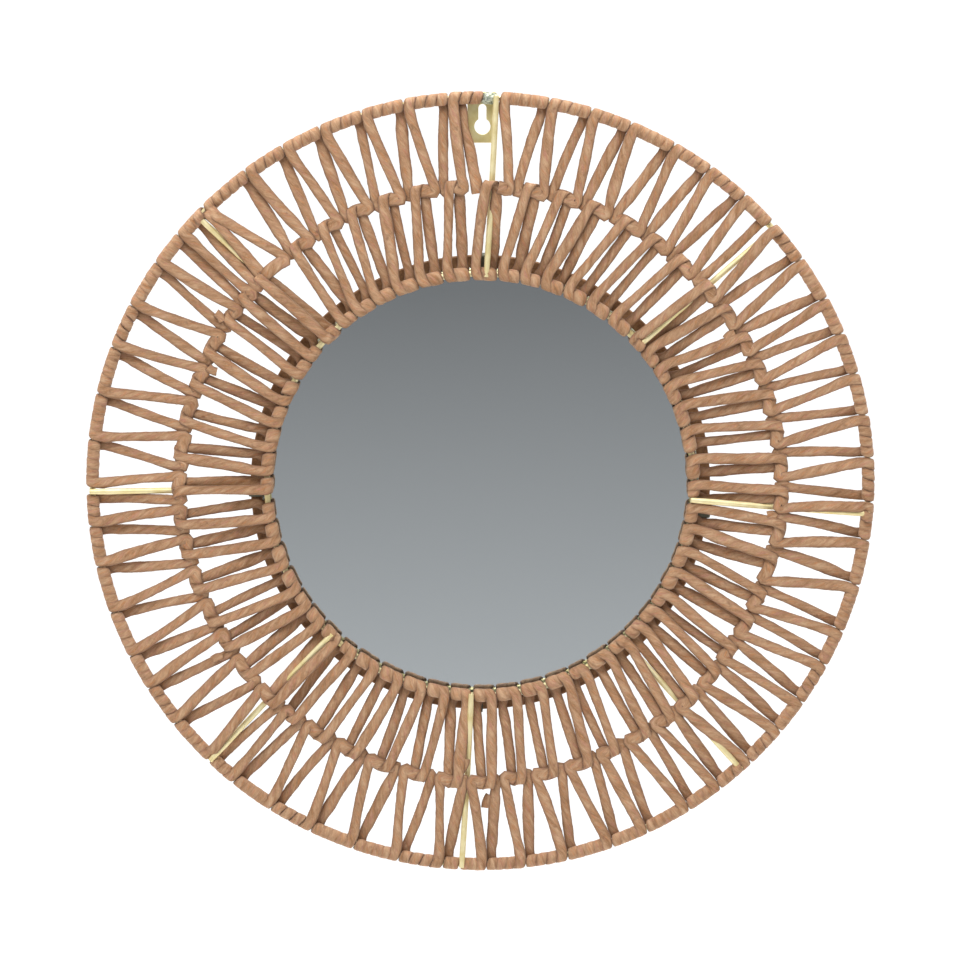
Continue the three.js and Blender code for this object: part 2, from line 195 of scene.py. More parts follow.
def in_frame(point):
    return (Vector(point) + MIRROR_CENTRE) * MM


def angle_between(a, b):
    return (a - b + 540) % 360 - 180


def clamp(value, low, high):
    return max(low, min(high, value))


def linear(hex_colour):
    """An sRGB hex colour as linear RGBA."""
    channels = [int(hex_colour[i:i + 2], 16) / 255 for i in (1, 3, 5)]
    return [c / 12.92 if c <= 0.04045 else ((c + 0.055) / 1.055) ** 2.4 for c in channels] + [1]


# A colour Mix node's sockets: how much, the colour below, the colour above, and the result
AMOUNT, BELOW, ABOVE, MIXED = 0, 6, 7, 2


def set_inputs(tree, node, inputs):
    """Sets a node's inputs to values, or links them to sockets or to nodes' first outputs."""
    for key, value in inputs.items():
        if isinstance(value, bpy.types.Node):
            value = value.outputs[0]
        if isinstance(value, bpy.types.NodeSocket):
            tree.links.new(value, node.inputs[key])
        else:
            node.inputs[key].default_value = value


def add_node(tree, kind, inputs=None, **settings):
    """Adds a node, sets its properties, and sets or links its inputs."""
    made = tree.nodes.new(kind)
    for name, value in settings.items():
        setattr(made, name, value)
    set_inputs(tree, made, inputs or {})
    return made


def set_stops(ramp, stops):
    """Sets a colour ramp's stops, each a position and a linear colour."""
    while len(ramp.elements) < len(stops):
        ramp.elements.new(0.5)
    for element, (position, colour) in zip(ramp.elements, stops):
        element.position = position
        element.color = colour


def finish(name):
    """A new material with its tree and its shader."""
    made = bpy.data.materials.new(name)
    made.use_nodes = True
    return made, made.node_tree, made.node_tree.nodes["Principled BSDF"]


# Camera

CAMERA_ELEVATION = 8.8
CAMERA_DISTANCE = 2.193
CAMERA_LENS = 162

target = in_frame((0, 0, 0)) + Vector((-0.0002, 0, 0.0031))
elevation = math.radians(CAMERA_ELEVATION)
camera_data = bpy.data.cameras.new("studio_camera")
camera_data.lens = CAMERA_LENS
camera_data.sensor_width = 36
camera_data.clip_end = 200
camera = bpy.data.objects.new("studio_camera", camera_data)
camera.location = target + CAMERA_DISTANCE * Vector((0, -math.cos(elevation), math.sin(elevation)))
camera.rotation_euler = (target - camera.location).to_track_quat("-Z", "Y").to_euler()
bpy.context.scene.collection.objects.link(camera)
bpy.context.scene.camera = camera
bpy.context.scene.view_settings.view_transform = "Standard"


# Studio

def soft_light(name, location, aim, size, power):
    data = bpy.data.lights.new(name, "AREA")
    data.shape = "SQUARE"
    data.size = size
    data.energy = power
    light = bpy.data.objects.new(name, data)
    light.location = location
    light.rotation_euler = (Vector(aim) - Vector(location)).to_track_quat("-Z", "Y").to_euler()
    bpy.context.scene.collection.objects.link(light)


mirror_middle = in_frame((0, 0, 0))
soft_light("top_softbox", (-0.35, -1.2, 1.6), mirror_middle, 1.0, 32)
soft_light("left_softbox", (-1.9, -1.6, 0.5), mirror_middle, 1.2, 7)
soft_light("right_softbox", (1.9, -1.5, 0.4), mirror_middle, 1.2, 5)
soft_light("rim_softbox", (0.1, 0.1, 1.9), mirror_middle, 0.8, 30)


def studio_world():
    """White behind the mirror, and in front a grey that brightens towards the floor."""
    world = bpy.data.worlds.new("studio")
    world.use_nodes = True
    tree = world.node_tree
    tree.nodes.clear()
    direction = add_node(tree, "ShaderNodeTexCoord").outputs["Generated"]
    axes = add_node(tree, "ShaderNodeSeparateXYZ", {0: direction}).outputs
    height = add_node(tree, "ShaderNodeMapRange", {
        "Value": axes["Z"],
        "From Min": -1.0,
        "From Max": 1.0,
    })
    tones = add_node(tree, "ShaderNodeValToRGB", {"Fac": height})
    # How high each grey is, from straight below to straight above, and the sky's faint tint
    greys = [
        (-1.0, 0.75),
        (-0.5, 0.7),
        (-0.205, 0.467),
        (-0.105, 0.181),
        (0.0, 0.13),
        (0.35, 0.3),
        (1.0, 0.8),
    ]
    red, blue = 1.01, 1.065
    set_stops(tones.color_ramp, [
        ((z + 1) / 2, (grey * red, grey, grey * blue, 1)) for z, grey in greys
    ])
    behind = add_node(tree, "ShaderNodeMapRange", {
        "Value": axes["Y"],
        "From Min": -0.1,
        "From Max": 0.15,
    })
    sky = add_node(tree, "ShaderNodeMix", {
        AMOUNT: behind,
        BELOW: tones,
        ABOVE: (1.05, 1.05, 1.05, 1),
    }, data_type="RGBA")
    shine = add_node(tree, "ShaderNodeBackground", {"Color": sky.outputs[MIXED], "Strength": 1.0})
    add_node(tree, "ShaderNodeOutputWorld", {"Surface": shine})
    bpy.context.scene.world = world


studio_world()


def studio_floor():
    """A plain pale floor a metre and a half below the mirror, reaching away behind it."""
    mesh = bpy.data.meshes.new("studio_floor")
    left, right, near, far, level = -30, 30, -2, 60, -1.5
    outline = [(left, near, level), (right, near, level), (right, far, level), (left, far, level)]
    mesh.from_pydata(outline, [], [(0, 1, 2, 3)])
    floor = bpy.data.objects.new("studio_floor", mesh)
    bpy.context.scene.collection.objects.link(floor)
    paint, tree, shader = finish("matt white paint")
    set_inputs(tree, shader, {
        "Base Color": linear("#F4F4F2"),
        "Roughness": 0.9,
        "Emission Color": (1, 1, 1, 1),
        "Emission Strength": 0.35,
    })
    mesh.materials.append(paint)


studio_floor()


# Finishes

def paper_cord_finish():
    """Twisted kraft paper cord: matt tan paper whose fibres run round it in a long slow helix,
    in warmer and greyer streaks 2 mm wide and 9 mm long, with flecks of 0.3 mm, and painted
    shade that darkens it where the paper folds in, along its narrow edges and where cords touch."""
    made, tree, shader = finish("twisted kraft paper cord")
    fibre = add_node(tree, "ShaderNodeAttribute", attribute_name="fibre").outputs["Vector"]
    # Streaks, warm and pink strips, flecks and fine fibres: scale, detail, roughness, distortion
    streak, warm, pink, speck, fine = [
        add_node(tree, "ShaderNodeTexNoise", {
            "Vector": fibre,
            "Scale": scale,
            "Detail": detail,
            "Roughness": roughness,
            "Distortion": distortion,
        })
        for scale, detail, roughness, distortion in (
            (1.5, 3.0, 0.6, 0.0),
            (3.4, 2.0, 0.5, 0.0),
            (2.3, 2.0, 0.5, 0.6),
            (9.0, 6.0, 0.75, 0.0),
            (5.0, 4.0, 0.7, 0.0),
        )
    ]
    tone = add_node(tree, "ShaderNodeValToRGB", {"Fac": streak})
    set_stops(tone.color_ramp, [
        (0.3, linear("#956B45")),
        (0.5, linear("#B38A65")),
        (0.72, linear("#CDA985")),
    ])
    fold = add_node(tree, "ShaderNodeAttribute", attribute_name="fold")
    rim = add_node(tree, "ShaderNodeAttribute", attribute_name="rim")
    # Ambient occlusion, which darkens the colour in hollows as painted shade
    hollow_shade = add_node(tree, "ShaderNodeAmbientOcclusion", {"Distance": 0.006}, samples=6)
    # Orange and pink strips, painted shade in folds, dark and pale fibres, painted shade at the edges
    # and painted shade in hollows: what each follows, where it starts, where it is full, how strong it
    # gets, and its colour
    layers = [
        (warm, 0.53, 0.68, 0.6, "#C07F4C"),
        (pink, 0.54, 0.7, 0.55, "#B87D6B"),
        # painted shade where the folds push the surface in
        (fold.outputs["Fac"], 0.44, 0.26, 0.55, "#6E482F"),
        (speck, 0.48, 0.3, 0.5, "#80573A"),
        (speck, 0.52, 0.7, 0.45, "#DCB993"),
        # painted shade along the cord's narrow edges
        (rim.outputs["Fac"], 0.0, 1.0, 0.7, "#6E4C31"),
        # painted shade in hollows, where cords touch and meet the rings
        (hollow_shade.outputs["AO"], 0.72, 0.3, 0.72, "#58381F"),
    ]
    colour = tone
    for follows, starts, full, strength, look in layers:
        amount = add_node(tree, "ShaderNodeMapRange", {
            "Value": follows,
            "From Min": starts,
            "From Max": full,
            "To Max": strength,
        })
        layered = add_node(tree, "ShaderNodeMix", {
            AMOUNT: amount,
            BELOW: colour,
            ABOVE: linear(look),
        }, data_type="RGBA")
        colour = layered.outputs[MIXED]
    bump = add_node(tree, "ShaderNodeBump", {"Height": fine, "Strength": 0.8, "Distance": 0.0006})
    rough = add_node(tree, "ShaderNodeMapRange", {"Value": fine, "To Min": 0.62, "To Max": 0.85})
    set_inputs(tree, shader, {
        "Base Color": colour,
        "Normal": bump,
        "Roughness": rough,
        "Sheen Weight": 0.15,
        "Sheen Roughness": 0.4,
    })
    return made


def gold_finish(name, pale, deep, roughness):
    """Brass-plated steel under clear lacquer: pale champagne gold, faintly mottled in patches
    of 6 mm where the plating is thin. Its grain of 1 mm is coarser than the real drawing
    marks, so that it shows."""
    made, tree, shader = finish(name)
    place = add_node(tree, "ShaderNodeTexCoord").outputs["Object"]
    cloud = add_node(tree, "ShaderNodeTexNoise", {"Vector": place, "Scale": 160.0, "Detail": 4.0})
    amount = add_node(tree, "ShaderNodeMapRange", {"Value": cloud, "From Min": 0.35, "From Max": 0.7})
    tone = add_node(tree, "ShaderNodeMix", {
        AMOUNT: amount,
        BELOW: linear(pale),
        ABOVE: linear(deep),
    }, data_type="RGBA")
    grain = add_node(tree, "ShaderNodeTexNoise", {"Vector": place, "Scale": 900.0, "Detail": 3.0})
    rough = add_node(tree, "ShaderNodeMapRange", {
        "Value": grain,
        "To Min": roughness - 0.08,
        "To Max": roughness + 0.12,
    })
    bump = add_node(tree, "ShaderNodeBump", {"Height": grain, "Strength": 0.15, "Distance": 0.0001})
    set_inputs(tree, shader, {
        "Base Color": tone.outputs[MIXED],
        "Metallic": 0.8,
        "Roughness": rough,
        "Normal": bump,
        "Coat Weight": 0.3,
        "Coat Roughness": 0.25,
    })
    return made


def weld_finish():
    """A bare weld bead: grey-green scorched steel, silvery where it is brushed, with spatter
    of 1.5 mm."""
    made, tree, shader = finish("brushed weld bead")
    place = add_node(tree, "ShaderNodeTexCoord").outputs["Object"]
    grit = add_node(tree, "ShaderNodeTexNoise", {"Vector": place, "Scale": 700.0, "Detail": 5.0})
    tone = add_node(tree, "ShaderNodeValToRGB", {"Fac": grit})
    set_stops(tone.color_ramp, [(0.35, linear("#6C7463")), (0.62, linear("#D3D6C2"))])
    bump = add_node(tree, "ShaderNodeBump", {"Height": grit, "Strength": 0.8, "Distance": 0.0004})
    set_inputs(tree, shader, {
        "Base Color": tone,
        "Metallic": 0.85,
        "Roughness": 0.48,
        "Normal": bump,
    })
    return made


def clear_glass_finish():
    """Float glass, clear with polished faces and a faint green at its edge."""
    made, tree, shader = finish("clear float glass")
    set_inputs(tree, shader, {
        "Base Color": linear("#F6FBF9"),
        "Roughness": 0.0,
        "IOR": 1.52,
        "Transmission Weight": 1.0,
    })
    return made


def silver_finish():
    """The silver layer behind the glass, a clean mirror with a trace of haze in clouds of
    70 mm."""
    made, tree, shader = finish("silvering under glass")
    place = add_node(tree, "ShaderNodeTexCoord").outputs["Object"]
    haze = add_node(tree, "ShaderNodeTexNoise", {"Vector": place, "Scale": 14.0, "Detail": 2.0})
    tone = add_node(tree, "ShaderNodeMix", {
        AMOUNT: haze,
        BELOW: linear("#F7FAF9"),
        ABOVE: linear("#F3F7F6"),
    }, data_type="RGBA")
    set_inputs(tree, shader, {
        "Base Color": tone.outputs[MIXED],
        "Metallic": 1.0,
        "Roughness": 0.0,
    })
    return made


def fibreboard_finish():
    """Hardboard: pressed brown wood fibre, smooth and slightly waxy. Its flecks of 2.5 mm are
    coarser than the real fibre, so that they show, and its faint stains are 40 mm across."""
    made, tree, shader = finish("brown hardboard")
    place = add_node(tree, "ShaderNodeTexCoord").outputs["Object"]
    flecks = add_node(tree, "ShaderNodeTexNoise", {
        "Vector": place,
        "Scale": 420.0,
        "Detail": 6.0,
        "Roughness": 0.7,
    })
    tone = add_node(tree, "ShaderNodeValToRGB", {"Fac": flecks})
    set_stops(tone.color_ramp, [(0.3, linear("#5E4027")), (0.66, linear("#A0774F"))])
    broad = add_node(tree, "ShaderNodeTexNoise", {"Vector": place, "Scale": 24.0, "Detail": 3.0})
    stain = add_node(tree, "ShaderNodeMapRange", {
        "Value": broad,
        "From Min": 0.45,
        "From Max": 0.75,
        "To Max": 0.5,
    })
    stained = add_node(tree, "ShaderNodeMix", {
        AMOUNT: stain,
        BELOW: tone,
        ABOVE: linear("#7B5A3C"),
    }, data_type="RGBA")
    bump = add_node(tree, "ShaderNodeBump", {"Height": flecks, "Strength": 0.3, "Distance": 0.0003})
    set_inputs(tree, shader, {
        "Base Color": stained.outputs[MIXED],
        "Roughness": 0.68,
        "Normal": bump,
    })
    return made


def dark_steel_finish():
    """Spring clip steel with a dark olive oxide, worn brighter in patches of 4 mm."""
    made, tree, shader = finish("dark oxide spring steel")
    place = add_node(tree, "ShaderNodeTexCoord").outputs["Object"]
    patch = add_node(tree, "ShaderNodeTexNoise", {"Vector": place, "Scale": 260.0, "Detail": 4.0})
    tone = add_node(tree, "ShaderNodeMix", {
        AMOUNT: patch,
        BELOW: linear("#38382E"),
        ABOVE: linear("#6C6A5A"),
    }, data_type="RGBA")
    rough = add_node(tree, "ShaderNodeMapRange", {"Value": patch, "To Min": 0.35, "To Max": 0.6})
    set_inputs(tree, shader, {
        "Base Color": tone.outputs[MIXED],
        "Metallic": 0.7,
        "Roughness": rough,
    })
    return made


paper_cord = paper_cord_finish()
gold_wire = gold_finish("lacquered gold wire", "#F6EBBE", "#E6D598", 0.6)
gold_plate = gold_finish("lacquered gold plate", "#F6EBB4", "#E2D08C", 0.42)
weld_bead = weld_finish()
clear_glass = clear_glass_finish()
silvering = silver_finish()
hardboard = fibreboard_finish()
dark_steel = dark_steel_finish()


# Sweeps along a path

def sweep_tree(name, inputs):
    """A geometry tree with a path, these inputs and a result, and its input node's outputs."""
    tree = bpy.data.node_groups.new(name, "GeometryNodeTree")
    for label, kind in [("Path", "NodeSocketGeometry")] + inputs:
        tree.interface.new_socket(label, in_out="INPUT", socket_type=kind)
    tree.interface.new_socket("Geometry", in_out="OUTPUT", socket_type="NodeSocketGeometry")
    return tree, add_node(tree, "NodeGroupInput").outputs


def path_curve(tree, given):
    """The path's edges as smooth curves with evenly spaced points."""
    curve = add_node(tree, "GeometryNodeMeshToCurve", {"Mesh": given["Path"]})
    smooth = add_node(tree, "GeometryNodeCurveSplineType", {
        "Curve": curve,
    }, spline_type="CATMULL_ROM")
    even = add_node(tree, "GeometryNodeResampleCurve", {
        "Curve": smooth,
        "Length": given["Step"],
    }, mode="LENGTH")
    return even


def cord_tree():
    """Flat twisted cord: a rounded flat section whose ridges turn round it along its lay."""
    tree, given = sweep_tree("flat twisted cord", [
        ("Step", "NodeSocketFloat"),
        ("Sides", "NodeSocketInt"),
        ("Width", "NodeSocketFloat"),
        ("Thickness", "NodeSocketFloat"),
        ("Lay", "NodeSocketFloat"),
        ("Ridge", "NodeSocketFloat"),
        ("Finish", "NodeSocketMaterial"),
    ])
    maths = "ShaderNodeMath"
    vectors = "ShaderNodeVectorMath"
    attribute = "GeometryNodeInputNamedAttribute"
    store = "GeometryNodeStoreNamedAttribute"

    # The path, with the length run along it and its flat side's direction
    curve = path_curve(tree, given)
    length = add_node(tree, "GeometryNodeSplineParameter").outputs["Length"]
    start = add_node(tree, attribute, {"Name": "start"}, data_type="FLOAT")
    run = add_node(tree, maths, {0: length, 1: start}, operation="ADD")
    measured = add_node(tree, store, {0: curve, "Name": "run", "Value": run}, data_type="FLOAT")
    along = add_node(tree, "GeometryNodeInputTangent")
    side = add_node(tree, attribute, {"Name": "side"}, data_type="FLOAT_VECTOR")
    share = add_node(tree, vectors, {0: side, 1: along}, operation="DOT_PRODUCT").outputs["Value"]
    slope = add_node(tree, vectors, {0: along, "Scale": share}, operation="SCALE")
    level = add_node(tree, vectors, {0: side, 1: slope}, operation="SUBTRACT")
    across = add_node(tree, vectors, {0: level}, operation="NORMALIZE")
    turned = add_node(tree, "GeometryNodeSetCurveNormal", {
        "Curve": measured,
        "Normal": across,
    }, mode="FREE")

    # The section, which keeps its points' places on the circle
    circle = add_node(tree, "GeometryNodeCurvePrimitiveCircle", {
        "Resolution": given["Sides"],
        "Radius": 1.0,
    })
    place = add_node(tree, "GeometryNodeInputPosition")
    marked = add_node(tree, store, {
        0: circle,
        "Name": "around",
        "Value": place,
    }, data_type="FLOAT_VECTOR")
    axes = add_node(tree, "ShaderNodeSeparateXYZ", {0: place}).outputs

    def squared(value, size):
        """Pushes a circle's coordinate outwards, so that the section is flat with round corners."""
        away = add_node(tree, maths, {0: value}, operation="ABSOLUTE")
        spread = add_node(tree, maths, {0: away, 1: CORD_FLATTENING}, operation="POWER")
        hand = add_node(tree, maths, {0: value}, operation="SIGN")
        half = add_node(tree, maths, {0: size, 1: 0.5}, operation="MULTIPLY")
        signed = add_node(tree, maths, {0: hand, 1: spread}, operation="MULTIPLY")
        return add_node(tree, maths, {0: signed, 1: half}, operation="MULTIPLY")

    flat = add_node(tree, "ShaderNodeCombineXYZ", {
        0: squared(axes[0], given["Width"]),
        1: squared(axes[1], given["Thickness"]),
    })
    section = add_node(tree, "GeometryNodeSetPosition", {0: marked, "Position": flat})
    girth = add_node(tree, attribute, {"Name": "girth"}, data_type="FLOAT")
    swept = add_node(tree, "GeometryNodeCurveToMesh", {
        "Curve": turned,
        "Profile Curve": section,
        "Scale": girth,
        "Fill Caps": True,
    })

    # The fibres' direction: round the section once a lay, three units of the pattern along
    spent = add_node(tree, attribute, {"Name": "run"}, data_type="FLOAT")
    turns = add_node(tree, maths, {0: spent, 1: given["Lay"]}, operation="DIVIDE")
    angle = add_node(tree, maths, {0: turns, 1: math.tau}, operation="MULTIPLY")
    around = add_node(tree, attribute, {"Name": "around"}, data_type="FLOAT_VECTOR")
    twisted = add_node(tree, "ShaderNodeVectorRotate", {
        "Vector": around,
        "Angle": angle,
    }, rotation_type="Z_AXIS")
    rise = add_node(tree, maths, {0: turns, 1: 3.0}, operation="MULTIPLY")
    lift = add_node(tree, "ShaderNodeCombineXYZ", {2: rise})
    fibre = add_node(tree, vectors, {0: twisted, 1: lift}, operation="ADD")
    fibres = add_node(tree, store, {
        0: swept,
        "Name": "fibre",
        "Value": fibre,
    }, data_type="FLOAT_VECTOR")

    # The cord's narrow edges, which the finish darkens as painted shade
    beside = add_node(tree, "ShaderNodeSeparateXYZ", {0: around}).outputs["X"]
    away = add_node(tree, maths, {0: beside}, operation="ABSOLUTE")
    rim = add_node(tree, maths, {0: away, 1: 3.5}, operation="POWER")
    shaded_rims = add_node(tree, store, {0: fibres, "Name": "rim", "Value": rim}, data_type="FLOAT")

    # Its folds, which push the surface in and out, and which the finish also darkens as painted shade
    # where they push in
    folded = add_node(tree, "ShaderNodeTexNoise", {
        "Vector": fibre,
        "Scale": 1.9,
        "Detail": 3.0,
        "Roughness": 0.55,
    })
    folds = add_node(tree, store, {
        0: shaded_rims,
        "Name": "fold",
        "Value": folded,
    }, data_type="FLOAT")
    fold = add_node(tree, attribute, {"Name": "fold"}, data_type="FLOAT")
    centred = add_node(tree, maths, {0: fold, 1: 0.5}, operation="SUBTRACT")
    height = add_node(tree, maths, {0: centred, 1: given["Ridge"]}, operation="MULTIPLY")
    normal = add_node(tree, "GeometryNodeInputNormal")
    outward = add_node(tree, vectors, {0: normal, "Scale": height}, operation="SCALE")
    ridged = add_node(tree, "GeometryNodeSetPosition", {0: folds, "Offset": outward})
    smooth = add_node(tree, "GeometryNodeSetShadeSmooth", {0: ridged})
    real = add_node(tree, "GeometryNodeRealizeInstances", {0: smooth})
    painted = add_node(tree, "GeometryNodeSetMaterial", {0: real, "Material": given["Finish"]})
    add_node(tree, "NodeGroupOutput", {0: painted})
    return tree


def wire_tree():
    """Round wire along the path, thicker or thinner by its girth."""
    tree, given = sweep_tree("round wire", [
        ("Step", "NodeSocketFloat"),
        ("Sides", "NodeSocketInt"),
        ("Radius", "NodeSocketFloat"),
        ("Finish", "NodeSocketMaterial"),
    ])
    circle = add_node(tree, "GeometryNodeCurvePrimitiveCircle", {
        "Resolution": given["Sides"],
        "Radius": given["Radius"],
    })
    girth = add_node(tree, "GeometryNodeInputNamedAttribute", {"Name": "girth"}, data_type="FLOAT")
    swept = add_node(tree, "GeometryNodeCurveToMesh", {
        "Curve": path_curve(tree, given),
        "Profile Curve": circle,
        "Scale": girth,
        "Fill Caps": True,
    })
    smooth = add_node(tree, "GeometryNodeSetShadeSmooth", {0: swept})
    real = add_node(tree, "GeometryNodeRealizeInstances", {0: smooth})
    painted = add_node(tree, "GeometryNodeSetMaterial", {0: real, "Material": given["Finish"]})
    add_node(tree, "NodeGroupOutput", {0: painted})
    return tree


flat_cord = cord_tree()
round_wire = wire_tree()


def path_object(name, routes):
    """The routes' points as edges. A route is a list of (point, side, girth) and whether it closes."""
    points, edges, sides, girths, starts = [], [], [], [], []
    for route, closed in routes:
        first = len(points)
        start = random.uniform(0, 40) * CORD_LAY * MM
        for point, side, girth in route:
            points.append(in_frame(point))
            sides.append(side)
            girths.append(girth)
            starts.append(start)
        edges += [(i, i + 1) for i in range(first, len(points) - 1)]
        if closed:
            edges.append((len(points) - 1, first))
    mesh = bpy.data.meshes.new(name)
    mesh.from_pydata(points, edges, [])
    for label, kind, key, values in (
        ("side", "FLOAT_VECTOR", "vector", [c for side in sides for c in side]),
        ("girth", "FLOAT", "value", girths),
        ("start", "FLOAT", "value", starts),
    ):
        mesh.attributes.new(label, kind, "POINT").data.foreach_set(key, values)
    return bpy.data.objects.new(name, mesh)


def sweep(name, routes, tree, values):
    """Runs a sweep tree on the routes and keeps its result as a plain mesh object."""
    path = path_object(name + "_path", routes)
    bpy.context.scene.collection.objects.link(path)
    modifier = path.modifiers.new("sweep", "NODES")
    modifier.node_group = tree
    for item in tree.interface.items_tree:
        if item.in_out == "INPUT" and item.name in values:
            modifier[item.identifier] = values[item.name]
    evaluated = path.evaluated_get(bpy.context.evaluated_depsgraph_get())
    mesh = bpy.data.meshes.new_from_object(evaluated)
    mesh.name = name
    piece = bpy.data.objects.new(name, mesh)
    path.modifiers.remove(modifier)
    bpy.data.objects.remove(path)
    for spent in ("side", "girth", "start", "run", "around"):
        if spent in mesh.attributes:
            mesh.attributes.remove(mesh.attributes[spent])
    bpy.context.scene.collection.objects.link(piece)
    return piece


def lay_cord(name, routes):
    return sweep(name, routes, flat_cord, {
        "Step": CORD_STEP * MM,
        "Sides": CORD_SIDES,
        "Width": CORD_WIDTH * MM,
        "Thickness": CORD_THICKNESS * MM,
        "Lay": CORD_LAY * MM,
        "Ridge": CORD_RIDGE * MM,
        "Finish": paper_cord,
    })


def bend_wire(name, routes, radius, look):
    return sweep(name, routes, round_wire, {
        "Step": WIRE_STEP * MM,
        "Sides": WIRE_SIDES,
        "Radius": radius * MM,
        "Finish": look,
    })


# Where the netting's strands run

def wobble(cell, seed):
    return 0.5 * math.sin(2.4 * cell + seed) + 0.5 * math.sin(5.1 * cell + 2 * seed)


def nominal_apex(cell):
    angle = cell * PITCH
    return angle + 1 + 2 * math.cos(math.radians(angle - 25))


def spoke_at_apex(cell):
    for outer, inner, at_apex in SPOKES:
        if at_apex and abs(angle_between(outer, nominal_apex(cell))) < PITCH / 2:
            return outer
    return None


def apex_angle(cell):
    spoke = spoke_at_apex(cell)
    if spoke is None:
        return nominal_apex(cell) + 0.5 * wobble(cell, 1) + APEX_SHIFT.get(cell, 0)
    return nominal_apex(cell) + angle_between(spoke, nominal_apex(cell))


def foot_angle(cell):
    middle = (apex_angle(cell) + apex_angle(cell + 1)) / 2
    return middle + 0.3 * wobble(cell, 4) + FOOT_SHIFT.get(cell, 0)


def wrap_angle(cell):
    head = apex_angle(cell)
    angle = head - 1.2 - 0.9 * math.cos(math.radians(head - 40)) + 0.4 * wobble(cell, 2)
    for outer, inner, at_apex in SPOKES:
        away = angle_between(head, outer)
        wanted = inner + away + (0 if at_apex else 0.16 * PITCH)
        nearness = clamp(1.25 - abs(away) / (2 * PITCH), 0, 1)
        angle += nearness * angle_between(wanted, angle)
    return angle + WRAP_SHIFT.get(cell, 0)


def band_depth(angle):
    lift = 0
    for outer, inner, at_apex in SPOKES:
        away = angle_between(angle, (outer + inner) / 2)
        lift = max(lift, math.exp(-((away / RIDGE_SPREAD) ** 2)))
    return BAND_DEPTH - RIDGE_LIFT * lift


def coil(ring_radius, angle, turn, raised=0.0):
    """A point of a wrap round a ring: turn is 0 in front of the wire and 90 on its outer side."""
    theta = math.radians(turn)
    depth = -(WRAP_COIL + raised * max(0, math.cos(theta))) * math.cos(theta)
    return polar(ring_radius + WRAP_COIL * math.sin(theta), angle, depth)


def raised_over(ends, angle):
    """How far a wrap stands off where it passes over a spoke's end."""
    return LASH_RISE * max(math.exp(-(angle_between(angle, end) / LASH_SPREAD) ** 2) for end in ends)


def wraps(ring_radius, angles, turns, last_front, ends, girths=(1.08, 1.03)):
    """Turns of cord round a ring from one angle to another, lifted over the spoke ends. The
    cord moves along the ring, and from its first to its second girth, up to its last pass
    over the front."""
    from_angle, to_angle = angles
    from_turn, to_turn = turns
    count = max(2, round(abs(to_turn - from_turn) / WRAP_STEP))
    route = []
    for i in range(count + 1):
        turn = from_turn + (to_turn - from_turn) * i / count
        advance = clamp((turn - from_turn) / (last_front - from_turn), 0, 1)
        angle = from_angle + (to_angle - from_angle) * advance
        raised = raised_over(ends, angle)
        point = coil(ring_radius, angle, turn, raised)
        girth = girths[0] + (girths[1] - girths[0]) * advance
        route.append((point, clockwise(angle), girth + 0.04 * math.sin(turn * 0.013)))
    return route


def strand(start, end, count, bow=0.0):
    """Points of a free strand between two ends, its flat side roughly to the front."""
    along = (end - start).normalized()
    across = Vector((along.z, 0, -along.x))
    tilt = random.uniform(-0.3, 0.3)
    thin = random.uniform(0.9, 1.2)
    route = []
    for i in range(1, count + 1):
        share = i / (count + 1)
        sway = bow * math.sin(math.pi * share)
        swell = 1 + 0.05 * math.sin(7 * share + 9 * tilt)
        side = across + Vector((0, tilt * math.sin(math.pi * share), 0))
        route.append((start.lerp(end, share) + across * sway, side, thin * swell))
    return route


def settled(route, closed=False):
    """Fills in the missing sides of a route and keeps them all on one hand."""
    ready = []
    for i, (point, side, girth) in enumerate(route):
        if side is None:
            before = route[i - 1][0] if i > 0 or closed else point
            after = route[(i + 1) % len(route)][0] if i + 1 < len(route) or closed else point
            along = after - before
            side = Vector((along.z, 0, -along.x))
        side = side.normalized()
        if ready and side.dot(ready[-1][1]) < 0:
            side = -side
        ready.append((point, side, girth))
    return ready, closed


def outer_strand(cell, way, foot):
    """From the outer ring to a foot of the band, with its turn into the band: way is -1 behind
    and 1 in front."""
    depth = -way * STRAND_LEVEL
    if way == 1 and cell in OVER_OUTER_END:
        depth = -OVER_SPOKE
    top = polar(OUTER_RING_RADIUS - STRAND_START, ring_side(cell, way), depth)
    turn = []
    for radius, aside, level, girth in FOOT_TURN:
        angle = foot - way * aside
        lower = 0.5 * wobble(cell, 3) if radius < BAND_RADIUS else 0
        turn.append((polar(radius + lower, angle, band_depth(angle) - way * level), None, girth))
    return top, turn


def outer_loop(cell, right_foot=None):
    """Down from behind the outer ring, along the band, and up to the front of the ring."""
    left = foot_angle(cell - 1)
    right = foot_angle(cell) if right_foot is None else right_foot
    radius = BAND_RADIUS + 0.4 * wobble(cell, 3)
    top, turn = outer_strand(cell, -1, left)
    route = [(top, None, BACK_GIRTH)] + strand(top, turn[0][0], 4, random.uniform(-0.5, 0.5))
    route += turn
    for share, level in ((0.42, 0.4), (0.58, -0.4)):
        angle = left + (right - left) * share
        route.append((polar(radius, angle, band_depth(angle) + level), None, BAND_GIRTH))
    top, turn = outer_strand(cell, 1, right)
    route += reversed(turn)
    route += strand(turn[0][0], top, 4, random.uniform(-0.5, 0.5)) + [(top, None, FRONT_GIRTH)]
    return route


def ring_side(cell, way):
    """The angle at which a strand of a cell meets the outer ring."""
    spread = SPOKE_SPREADS.get(cell, RING_SPREAD)
    return apex_angle(cell) + RING_SHIFT.get(cell, 0) + way * spread


def ring_wraps(cell):
    """The wraps from a cell's front strand round the outer ring to the next cell's back strand."""
    start, end = ring_side(cell, 1), ring_side(cell + 1, -1)
    last_front = 360 * max(2, math.ceil((end - start) / WRAP_SPACING))
    turns = FRONT_TURN, last_front + BACK_TURN - FRONT_TURN
    return wraps(OUTER_RING_RADIUS, (start, end), turns, last_front, OUTER_ENDS)


